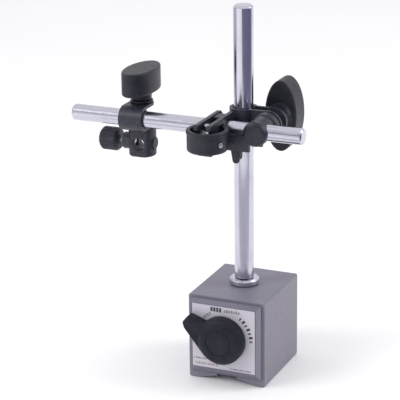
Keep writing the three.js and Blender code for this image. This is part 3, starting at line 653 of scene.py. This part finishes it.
# ---- column and arm -------------------------------------------------------------------------------------
def build_rods():
    chamfer = 1.2
    shaft = [(0, COLUMN_LOW), (COLUMN_R, COLUMN_LOW), (COLUMN_R, COLUMN_TOP - chamfer),
             (COLUMN_R - chamfer, COLUMN_TOP), (0, COLUMN_TOP)]
    shaft = filleted(shaft, [0, 0.5, 0.5, 0.5, 0], 4, closed=False)
    column = spun("plated_column", "z", shaft, 0, 0, VERY_ROUND)
    column = carved(column, rod("bore", "z", STUD_HOLE, 55, 72.5, 0, 0))
    piece(column, "base", CHROME_Z, "chrome", "column")
    nut = [(STUD_HOLE, 55.25), (8.6, 55.25), (9.2, 56), (9.2, 58.2), (8.2, 59.25), (STUD_HOLE, 59.25)]
    nut = hoop("plated_lock_nut", "z", filleted(nut, [0.2, 0.3, 0.4, 0.6, 0.5, 0.2], 5), 0, 0, VERY_ROUND)
    piece(nut, "base", CHROME_Z, "chrome", "column_lock_nut")
    chamfer = 0.8
    bar = [(0, ARM_LEFT), (ARM_R - chamfer, ARM_LEFT), (ARM_R, ARM_LEFT + chamfer),
           (ARM_R, ARM_RIGHT - chamfer), (ARM_R - chamfer, ARM_RIGHT), (0, ARM_RIGHT)]
    bar = filleted(bar, [0, 0.3, 0.4, 0.4, 0.3, 0], 4, closed=False)
    piece(spun("plated_arm", "x", bar, ARM_Y, ARM_Z, VERY_ROUND), "arm", CHROME_X, "chrome", "arm")


# ---- wing knobs -----------------------------------------------------------------------------------------
def wing_knob(name, axis, length, width, hub_low, low, high, hub, u, v):
    """A wing knob: an oval grip whose underside tapers into a round hub."""
    angles = [2 * math.pi * k / VERY_ROUND for k in range(VERY_ROUND)]
    outline = [(u + width / 2 * math.cos(a), v + length / 2 * math.sin(a)) for a in angles]
    grip = pillow("grip", axis, outline, low, high, 1.1)
    taper = filleted([(0, hub_low), (hub, hub_low), (hub, low - 2.2), (hub + 2, low + 1.8), (0, low + 1.8)],
                     [0, 0.5, 2, 0, 0], 5, closed=False)
    moulded(heaped(grip, spun("hub", axis, taper, u, v)), voxel=0.28, rounds=5)
    carved(
        grip,
        rod("pocket", axis, 4.85, hub_low - 2, hub_low + 7.25, u, v, facets=64),
        rod("bore", axis, BOLT_HOLE, hub_low - 2, high - 3, u, v, facets=48),
    )
    grip.name = name
    return grip


# ---- main clamp -----------------------------------------------------------------------------------------
def build_main_clamp():
    inner, outer, low, high = 6.8, 8.6, 151.5, 168.5
    ear_in, ear_out = 3.4, 5.2
    loop = fused(
        rod("loop", "z", outer, low, high, 0, 0),
        slab("ears", 4, BOLT_X, -ear_out, ear_out, low, high),
        rod("ear", "y", 8.7, -ear_out, ear_out, BOLT_X, ARM_Z),
    )
    band = carved(
        loop,
        rod("bore", "z", inner, low - 1, high + 1, 0, 0),
        slab("gap", 0, BOLT_X + 12, -ear_in, ear_in, low - 1, high + 1),
        hole("y", BOLT_HOLE, -9, 9, BOLT_X, ARM_Z),
    )
    band = softened(band, 0.35, 3)
    piece(band, "main_clamp", BLACK_METAL, "black_metal", "column_band").name = "clamp_strap"
    washer = filleted([(BOLT_HOLE, 5.45), (7.4, 5.45), (7.4, 6.95), (BOLT_HOLE, 6.95)], 0.2, 3)
    washer = hoop("knob_washer", "y", washer, BOLT_X, ARM_Z)
    piece(washer, "main_clamp", BLACK_METAL, "black_metal", "main_clamp_washer")
    saddle = [(BOLT_HOLE, -11.95), (7.6, -11.95), (8.4, -11.2), (8.4, -6.3), (7.6, -5.45), (BOLT_HOLE, -5.45)]
    saddle = hoop("saddle_ring", "y", filleted(saddle, [0.2, 0.4, 0.5, 0.5, 0.4, 0.2], 4), BOLT_X, ARM_Z)
    piece(saddle, "arm_eye", BLACK_METAL, "black_metal", "arm_saddle")
    knob = wing_knob("main_wing_knob", "y", length=44.5, width=20.5, hub_low=7.2, low=15.4, high=31, hub=7,
                     u=BOLT_X, v=ARM_Z)
    piece(knob, "main_knob", BLACK_PLASTIC, "black_plastic", "main_clamp_knob")


def build_arm_eye():
    """The cross bolt with the arm's eye on its head, and the bracket that carries the fine adjustment."""
    head = [(0, -28), (5.4, -28), (6.9, -27.4), (7.6, -26), (7.6, -12.2), (3, -12.2), (3, 27), (0, 27)]
    head = filleted(head, [0, 0.8, 1.0, 1.2, 0.3, 0, 0.3, 0], 5, closed=False)
    left, right = DRUM_X - 2.3, DRUM_X + 2.3
    eye = fused(
        spun("eye", "y", head, BOLT_X, ARM_Z),
        slab("bar", left, BOLT_X, -14.6, -12.2, 149, 154.6),
        slab("cheek", -1.3, BOLT_X - 3, -27.6, -25.4, 149, 158.4),
        slab("shelf", DRUM_X - 4, DRUM_X + 4, DRUM_Y - 3.5, -12.25, 148.7, 151.2),
        slab("upright", left, right, PIVOT_Y - 2.4, PIVOT_Y + 2.4, 148.8, PIVOT_Z),
        rod("knuckle", "x", 2.4, left, right, PIVOT_Y, PIVOT_Z, facets=48),
    )
    eye = carved(
        eye,
        rod("cross_bore", "x", 5.15, BOLT_X - 14, BOLT_X + 14, ARM_Y, ARM_Z),
        hole("y", LINK_HOLE, -17, -8, LINK_X, LINK_Z, 32),
        hole("z", DRUM_SCREW_HOLE, 145, 155, DRUM_X, DRUM_Y),
        hole("z", 3.4, 145, 150.1, DRUM_X, DRUM_Y),
        hole("x", PIVOT_HOLE, DRUM_X - 6, DRUM_X + 6, PIVOT_Y, PIVOT_Z, 32),
    )
    eye = softened(eye, 0.25, 2)
    piece(eye, "arm_eye", BLACK_METAL, "black_metal", "arm_eye_bolt").name = "eye_and_bracket"


# ---- fine adjustment ------------------------------------------------------------------------------------
def build_fine_adjustment():
    tongue = [(-4.3, 154.3), (3, 154.3), (2.8, 143)] + arc(-0.6, 138, 2.2, 0, -180, 16) + [(-4, 145)]
    leaf = carved(
        prism("hanging_tongue", "y", tongue, -11.9, -9.6),
        hole("y", LINK_HOLE, -17, -8, LINK_X, LINK_Z, 32),
    )
    piece(softened(leaf, 0.5, 3), "arm_eye", BLACK_METAL, "black_metal", "guide_tongue")
    screw = [(0, -16.1), (1.4, -16), (2.3, -15.4), (2.3, -14.8), (1.3, -14.8), (1.3, -9.8), (0, -9.8)]
    screw = filleted(screw, [0, 0.6, 0.3, 0.1, 0, 0.2, 0], 4, closed=False)
    button = carved(
        spun("button_screw", "y", screw, LINK_X, LINK_Z, 64),
        slab("slot", LINK_X - 2.5, LINK_X + 2.5, -17, -15.7, LINK_Z - 0.3, LINK_Z + 0.3),
    )
    piece(button, "arm_eye", STEEL, "steel", "link_screw")

    outline = [(-47.8, 165.2), (-44.5, 165.2), (-43.1, 158.2), (-35.9, 158.2), (-34.5, 165.2), (-26.7, 165.2),
               (-26.7, 156), (-24, 153.1), (-15.3, 153.1), (-15.3, 154.9), (-10.9, 154.9), (-9.4, 156.4),
               (-9.4, 165.8), (-11.9, 168.3), (-46.3, 168.3), (-47.8, 167.1)]
    outline = filleted(outline, [0.3, 1, 1.5, 1.5, 1, 1.2, 0.8, 1, 0.4, 0.3, 0.8, 1, 2, 2, 1, 0.6], 5)
    from_middle, half_thick = 3.9, 1.3
    for side, name in ((-1, "left"), (1, "right")):
        x = DRUM_X + side * from_middle
        plate = carved(
            prism("lever_plate", "x", outline, x - half_thick, x + half_thick),
            hole("x", 5.6, -20, 10, ARM_Y, ARM_Z, ROUND),
            hole("x", PIVOT_HOLE, -20, 10, PIVOT_Y, PIVOT_Z, 32),
            hole("x", TRUNNION_HOLE, -20, 10, DRUM_Y, TRUNNION_Z),
        )
        plate.name = f"lever_plate_{name}"
        piece(softened(plate, 0.32, 3), "rocker", BLACK_METAL, "black_metal", f"rocking_lever_{name}")
    pad = filleted([(-24.5, 165.7), (-15.5, 165.7), (-15.5, 167.7), (-24.5, 167.7)], 0.5, 4)
    pad_piece = softened(prism("pad_block", "x", pad, DRUM_X - 2.35, DRUM_X + 2.35), 0.2, 2)
    piece(pad_piece, "rocker", BLACK_METAL, "black_metal", "pressure_pad")

    wall = [(0, 151.5), (11.3, 151.5), (12.1, 152.3), (12.1, 161.9), (12.5, 162.3), (12.5, 164), (12, 164.5),
            (10.4, 164.5), (10, 164.1), (10, 153.9), (0, 153.9)]
    radii = [0, 0.6, 0.8, 0.2, 0.3, 0.4, 0.4, 0.4, 0.4, 1.0, 0]
    drum = spun("thumb_drum", "z", filleted(wall, radii, 4, closed=False), DRUM_X, DRUM_Y, 144)
    pin_z, pin_angle = 157.2, math.radians(-28)
    turn = Matrix.Translation((DRUM_X, DRUM_Y, 0)) @ Matrix.Rotation(pin_angle, 4, "Z")
    pin_hole = hole("x", 1.7, 9, 13.5, 0, pin_z, 32)
    pin_hole.data.transform(turn)
    drum = carved(drum, hole("z", DRUM_SCREW_HOLE, 150, 156, DRUM_X, DRUM_Y), pin_hole)
    piece(drum, "fine_knob", BLACK_PLASTIC, "black_plastic", "fine_adjust_drum")
    pin = rod("grip_pin", "x", 1.5, 10.2, 13, 0, pin_z, 0.35, 48)
    pin.data.transform(turn)
    piece(pin, "fine_knob", STEEL, "steel", "drum_grip_pin")


# ---- stem holder ----------------------------------------------------------------------------------------
def build_stem_holder():
    inner, outer, half = 5.8, 7.6, 7.4
    end = HOLDER_Y + half
    outline = [(end, ARM_Z + inner), (end, ARM_Z + outer)]
    outline += arc(ARM_Y, ARM_Z, outer, 90, 270, 48)
    outline += [(end, ARM_Z - outer), (end, ARM_Z - inner)]
    outline += arc(ARM_Y, ARM_Z, inner, 270, 90, 48)
    strap = prism("holder_strap", "x", outline, HOLDER_X - half, HOLDER_X + half)
    under, over = 140, 180
    rounded_end = fused(
        slab("keep", HOLDER_X - 10, HOLDER_X + 10, ARM_Y - 12, HOLDER_Y, under, over),
        rod("keep_end", "z", half, under, over, HOLDER_X, HOLDER_Y),
    )
    strap = carved(kept(strap, rounded_end), hole("z", BOLT_HOLE, under, over, HOLDER_X, HOLDER_Y))
    piece(softened(strap, 0.35, 3), "holder", BLACK_METAL, "black_metal", "holder_band")
    washer = filleted([(BOLT_HOLE, 167.85), (7, 167.85), (7, 169.15), (BOLT_HOLE, 169.15)], 0.25, 3)
    washer = hoop("holder_washer_ring", "z", washer, HOLDER_X, HOLDER_Y)
    piece(washer, "holder", BLACK_METAL, "black_metal", "holder_washer")
    bolt = rod("holder_bolt_rod", "z", 3, 148.15, 185, HOLDER_X, HOLDER_Y, 0.3, 64)
    piece(bolt, "holder", STEEL, "steel", "holder_bolt")
    knob = wing_knob("holder_wing_knob", "z", length=39, width=19, hub_low=169.4, low=174.4, high=189,
                     hub=6.2, u=HOLDER_X, v=HOLDER_Y)
    piece(knob, "holder_knob", BLACK_PLASTIC, "black_plastic", "holder_knob")


def build_stem_block():
    low, top, radius = 134, 152.15, 8.5
    body = filleted([(0, low), (radius, low), (radius, top), (0, top)], [0, 1.0, 0.6, 0], 5, closed=False)
    block = kept(
        spun("stem_head_block", "z", body, HOLDER_X, HOLDER_Y),
        slab("keep", HOLDER_X - 12, HOLDER_X + 12, HOLDER_Y - 6.6, HOLDER_Y + 6.6, 130, 160),
    )
    block = fused(block, rod("boss", "x", 5.2, HOLDER_X - 12, HOLDER_X, HOLDER_Y, STEM_Z, 0.5))
    block = carved(
        block,
        hole("y", 4.1, HOLDER_Y - 9, HOLDER_Y + 9, HOLDER_X, STEM_Z, ROUND),
        hole("x", 2.75, HOLDER_X - 14, HOLDER_X, HOLDER_Y, STEM_Z),
        hole("x", 4.25, HOLDER_X + 6, HOLDER_X + 12, HOLDER_Y, STEM_Z, 64),
        hole("z", BOLT_HOLE, top - 4.4, top + 1, HOLDER_X, HOLDER_Y),
    )
    piece(softened(block, 0.3, 3), "stem_head", BLACK_METAL, "black_metal", "stem_block")
    plug = filleted([(0, 6.3), (4, 6.3), (4, 8.5), (3.4, 9), (0, 9)], [0, 0.3, 0.3, 0.3, 0], 4, closed=False)
    plug = spun("stem_head_plug", "x", [(r, HOLDER_X + w) for r, w in plug], HOLDER_Y, STEM_Z)
    piece(plug, "stem_head", BLACK_PLASTIC, "black_plastic", "stem_block_plug")


def build_stem_screw():
    left, right = HOLDER_X - 27.4, HOLDER_X - 15
    grip = [(0, left), (5.4, left), (7.3, left + 1.6), (7.3, right - 1.6), (5.9, right), (0, right)]
    profile = filleted(grip, [0, 0.8, 1.2, 1.2, 0.8, 0], 5, closed=False)
    # more rings along the grip, for the flutes
    dense = []
    for (r0, w0), (r1, w1) in zip(profile, profile[1:]):
        steps = max(1, round(abs(w1 - w0) / 0.6))
        dense += [(r0 + (r1 - r0) * k / steps, w0 + (w1 - w0) * k / steps) for k in range(steps)]
    dense.append(profile[-1])
    flute_count, flute_depth, plain_radius = 20, 0.42, 5.5

    def flutes(angle, radius, place):
        if radius < plain_radius:
            return 0
        fade = min(1, (place - left) / 2, (right - place) / 2)
        return -flute_depth * max(0, fade) * (0.5 + 0.5 * math.cos(flute_count * angle)) ** 0.8

    knob = spun("fluted_knob", "x", dense, HOLDER_Y, STEM_Z, 240, flutes)
    knob = carved(knob, hole("x", 2.7, left + 1.8, right + 1, HOLDER_Y, STEM_Z))
    piece(knob, "stem_knob", BLACK_PLASTIC, "black_plastic", "stem_clamp_knob")
    start, tip = left + 2, HOLDER_X - 4.7
    shank = [(0, start), (2.5, start), (2.5, tip - 0.8), (1.8, tip), (0, tip)]
    shank = filleted(shank, [0, 0.2, 0.2, 0.2, 0], 3, closed=False)
    shank = spun("stem_screw_rod", "x", shank, HOLDER_Y, STEM_Z, 64)
    piece(shank, "stem_knob", STEEL, "steel", "stem_clamp_screw")


# ---- CAD nodes that keep their own shape ----------------------------------------------------------------
KEPT_NODES = {
    "column_stud": STEEL, "stop_pin": STEEL, "knob_screw": STEEL,
    "trunnion_nut": STEEL, "pivot_pin": STEEL, "adjusting_screw": STEEL,
    "magnet_core": MAGNET, "rotor_segment_upper": IRON, "rotor_segment_lower": IRON,
    "rotor_front_disc": BRASS, "rotor_rear_disc": BRASS,
    "column_liner": BRONZE, "holder_liner": BRONZE, "main_clamp_nut": BRASS, "holder_nut": BRASS,
}


def dress_kept_nodes():
    for node, material in KEPT_NODES.items():
        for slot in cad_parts[node].material_slots:
            slot.material = material


# ---- floor, light and camera ----------------------------------------------------------------------------
def build_studio():
    """The set, in metres. The cards stand round the column and only glossy surfaces see them."""
    half = 6
    floor_mesh = bpy.data.meshes.new("floor")
    floor_corners = [(-half, -half, 0), (half, -half, 0), (half, half, 0), (-half, half, 0)]
    floor_mesh.from_pydata(floor_corners, [], [(0, 1, 2, 3)])
    floor = linked("floor", floor_mesh)
    n = Nodes("floor_paper")
    tone = n.mix(n.span(n.noise(3, 2), 0.3, 0.7, 0, 1), (0.9, 0.9, 0.9, 1), (0.93, 0.93, 0.93, 1))
    n.finish(Base_Color=tone, Roughness=0.9, Specular_IOR_Level=0.1)
    floor_mesh.materials.append(n.material)

    def card(name, tone, azimuth, distance, width, low, high):
        """A grey card that puts a band in the plated rods. azimuth is in degrees from the front."""
        turn = Matrix.Rotation(math.radians(azimuth), 4, "Z") @ Matrix.Translation((0, -distance, 0))
        mesh = bpy.data.meshes.new(name)
        corners = [(-width / 2, 0, low), (width / 2, 0, low), (width / 2, 0, high), (-width / 2, 0, high)]
        mesh.from_pydata([turn @ Vector(c) + COLUMN for c in corners], [], [(0, 1, 2, 3)])
        obj = linked(name, mesh)
        felt = Nodes(f"{name}_felt")
        paler = rgb(*(c + 22 for c in tone))
        felt.finish(Base_Color=felt.mix(felt.noise(9, 2), rgb(*tone), paler), Roughness=0.9)
        mesh.materials.append(felt.material)
        obj.visible_camera = obj.visible_diffuse = obj.visible_shadow = False

    card("dark_card_right", (96, 98, 122), azimuth=67, distance=0.2, width=0.75, low=0.085, high=0.24)
    card("grey_card_left", (178, 178, 186), azimuth=-95, distance=0.3, width=0.42, low=0.09, high=0.24)
    card("grey_card_front", (126, 126, 134), azimuth=-35, distance=0.6, width=1.0, low=0.31, high=1.02)
    card("grey_card_low", (198, 196, 204), azimuth=22, distance=0.12, width=0.5, low=0.001, high=0.085)

    world = bpy.data.worlds.new("studio")
    bpy.context.scene.world = world
    world.use_nodes = True
    sky = world.node_tree.nodes["Background"].inputs
    sky["Color"].default_value = (0.93, 0.93, 0.96, 1)
    sky["Strength"].default_value = 0.95

    def lamp(name, place, size, watts):
        target = (0, 0, 0.12)
        data = bpy.data.lights.new(name, "AREA")
        data.shape = "RECTANGLE"
        data.size, data.size_y = size
        data.energy = watts
        obj = linked(name, data)
        obj.location = place
        aim = Vector(target) - Vector(place)
        obj.rotation_euler = aim.to_track_quat("-Z", "Y").to_euler()

    lamp("key_softbox", (-0.9, -0.9, 1.1), (0.7, 0.7), watts=9)
    lamp("rim_softbox", (1.2, 0.5, 0.9), (0.6, 0.9), watts=7)


def build_camera():
    """The camera. Its place and turn come from a least-squares fit of a perspective view to the object."""
    azimuth, elevation, roll = math.radians(23.76), math.radians(18.64), math.radians(-0.7)
    focal_pixels, picture_pixels = 1812.9, 400
    level = math.cos(elevation)
    back = Vector((math.sin(azimuth) * level, -math.cos(azimuth) * level, math.sin(elevation)))
    right = Vector((math.cos(azimuth), math.sin(azimuth), 0))
    up = back.cross(right)
    turn = Matrix((right, up, back)).transposed() @ Matrix.Rotation(roll, 3, "Z")
    data = bpy.data.cameras.new("camera")
    data.sensor_width = 36
    data.lens = focal_pixels * data.sensor_width / picture_pixels
    camera = linked("camera", data)
    place = Vector((398.5, -972.1, 463.8)) * 0.001 + COLUMN
    camera.matrix_world = Matrix.Translation(place) @ turn.to_4x4()
    bpy.context.scene.camera = camera


build_camera()
build_studio()
build_base()
build_front_cover()
build_rear_cover()
build_bushes()
build_switch()
build_rods()
build_main_clamp()
build_arm_eye()
build_fine_adjustment()
build_stem_holder()
build_stem_block()
build_stem_screw()
dress_kept_nodes()

bpy.context.scene.view_settings.view_transform = "Standard"
